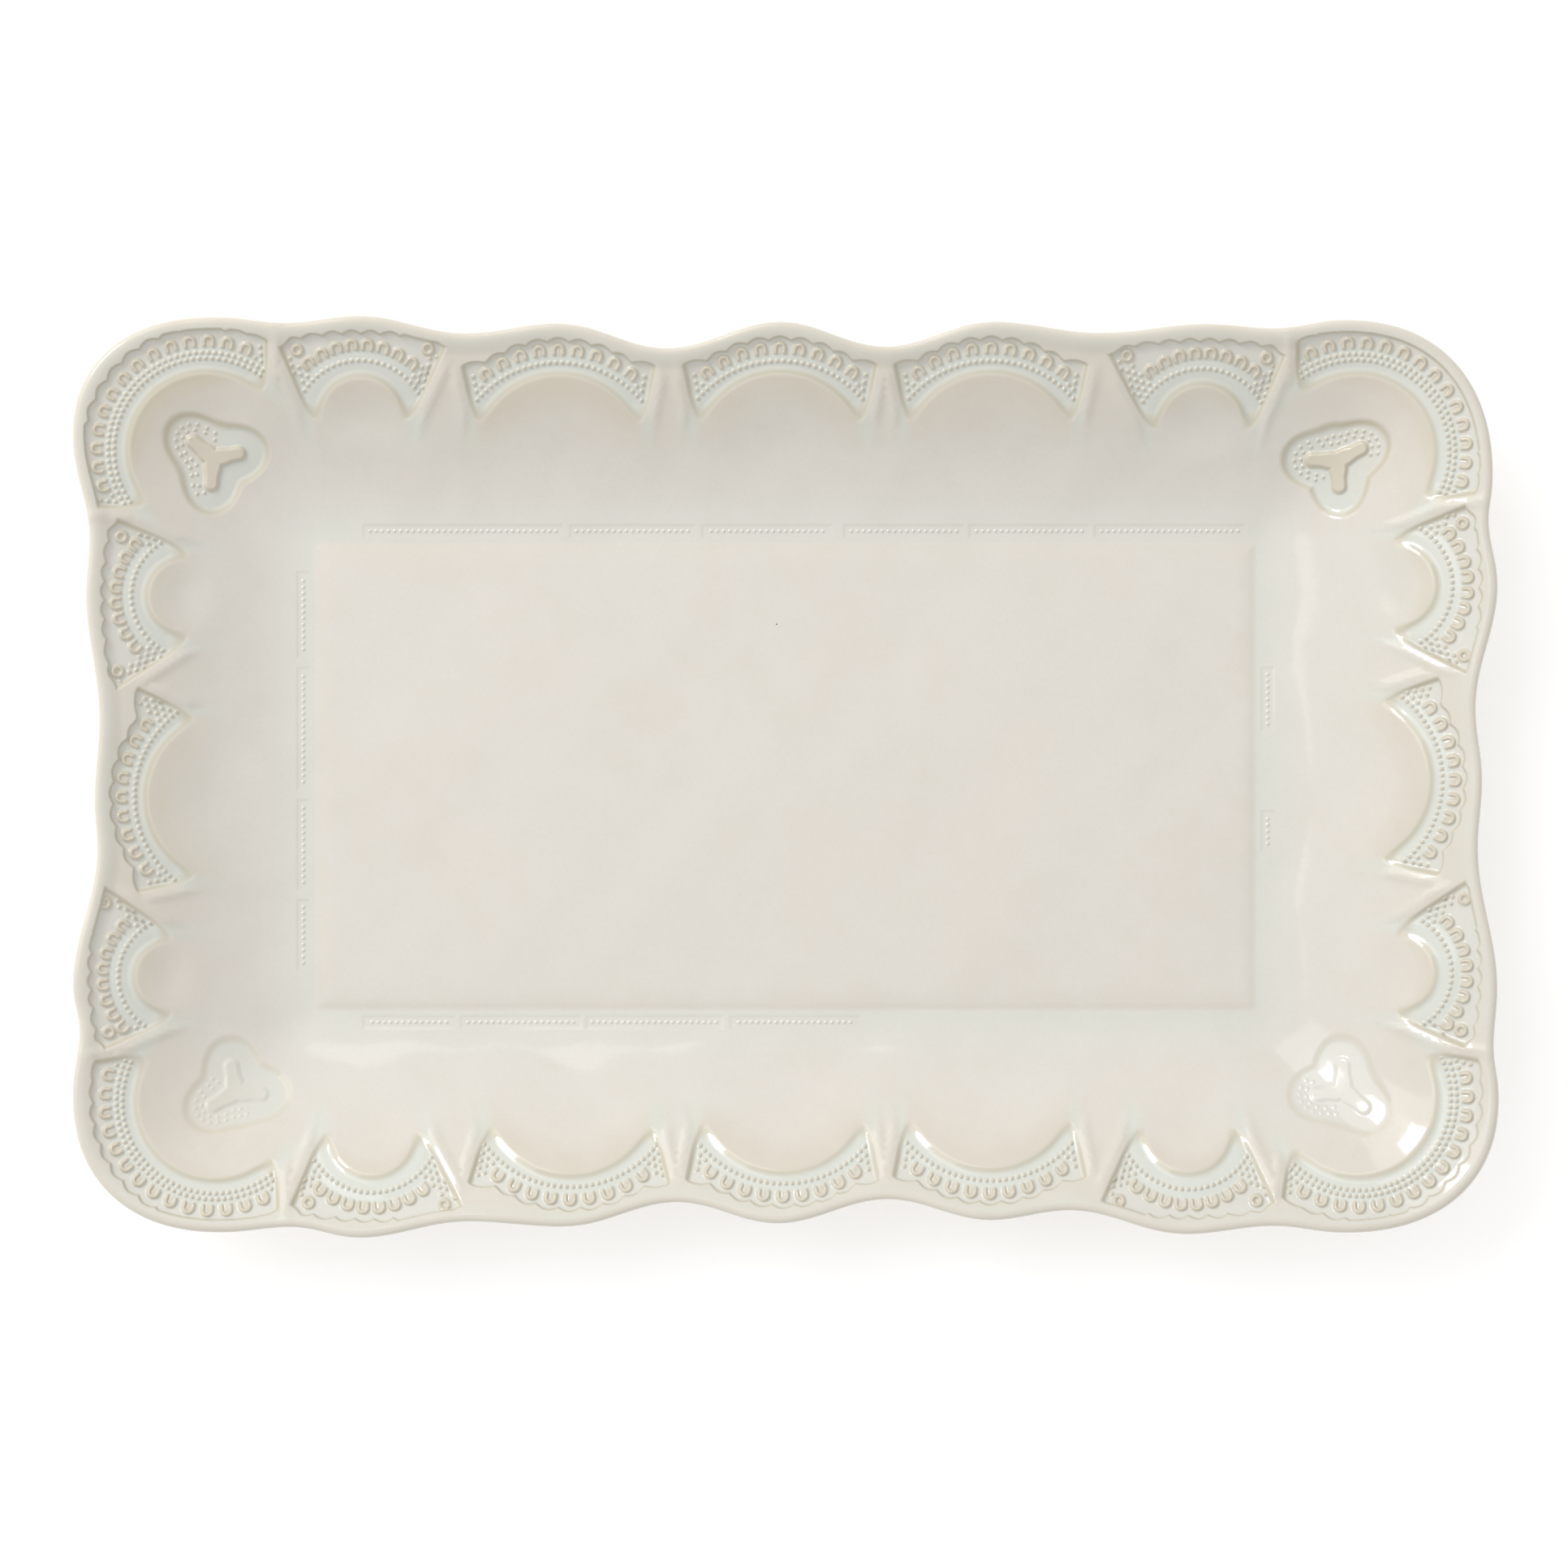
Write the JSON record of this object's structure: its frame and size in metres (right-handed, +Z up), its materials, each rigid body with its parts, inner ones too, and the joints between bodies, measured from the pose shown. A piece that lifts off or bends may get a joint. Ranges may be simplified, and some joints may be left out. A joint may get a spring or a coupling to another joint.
{
  "type": "serving platter",
  "caption": "Rectangular glazed stoneware serving platter with a scalloped rolled lip, sloping walls, pressed lace relief, trefoil corners and a foot ring.",
  "frame": {"origin": "on the table under the platter's centre, level with the foot ring's underside", "axes": "+X along the length, +Y across the width, +Z up out of the well"},
  "size_m": [0.444, 0.2872, 0.0419],
  "materials": {
    "glaze": "glossy cream glaze",
    "lace_glaze": "glossy cream glaze, pooled milky in the relief",
    "raw_clay": "bare fired stoneware, fine grain"
  },
  "bodies": {
    "root": {"platter_body": "glaze", "foot_ring": "raw_clay", "lace_top_1": "lace_glaze", "lace_top_2": "lace_glaze", "lace_top_3": "lace_glaze", "lace_top_4": "lace_glaze", "lace_top_5": "lace_glaze", "lace_bottom_1": "lace_glaze", "lace_bottom_2": "lace_glaze", "lace_bottom_3": "lace_glaze", "lace_bottom_4": "lace_glaze", "lace_bottom_5": "lace_glaze", "lace_left_1": "lace_glaze", "lace_left_2": "lace_glaze", "lace_left_3": "lace_glaze", "lace_right_1": "lace_glaze", "lace_right_2": "lace_glaze", "lace_right_3": "lace_glaze", "lace_corner_1": "lace_glaze", "lace_corner_2": "lace_glaze", "lace_corner_3": "lace_glaze", "lace_corner_4": "lace_glaze", "trefoil_1": "lace_glaze", "trefoil_2": "lace_glaze", "trefoil_3": "lace_glaze", "trefoil_4": "lace_glaze", "bead_top_1": "lace_glaze", "bead_top_2": "lace_glaze", "bead_top_3": "lace_glaze", "bead_top_4": "lace_glaze", "bead_top_5": "lace_glaze", "bead_top_6": "lace_glaze", "bead_bottom_1": "lace_glaze", "bead_bottom_2": "lace_glaze", "bead_bottom_3": "lace_glaze", "bead_bottom_4": "lace_glaze", "bead_left_1": "lace_glaze", "bead_left_2": "lace_glaze", "bead_left_3": "lace_glaze", "bead_left_4": "lace_glaze", "bead_right_1": "lace_glaze", "bead_right_2": "lace_glaze"}
  },
  "joints": []
}
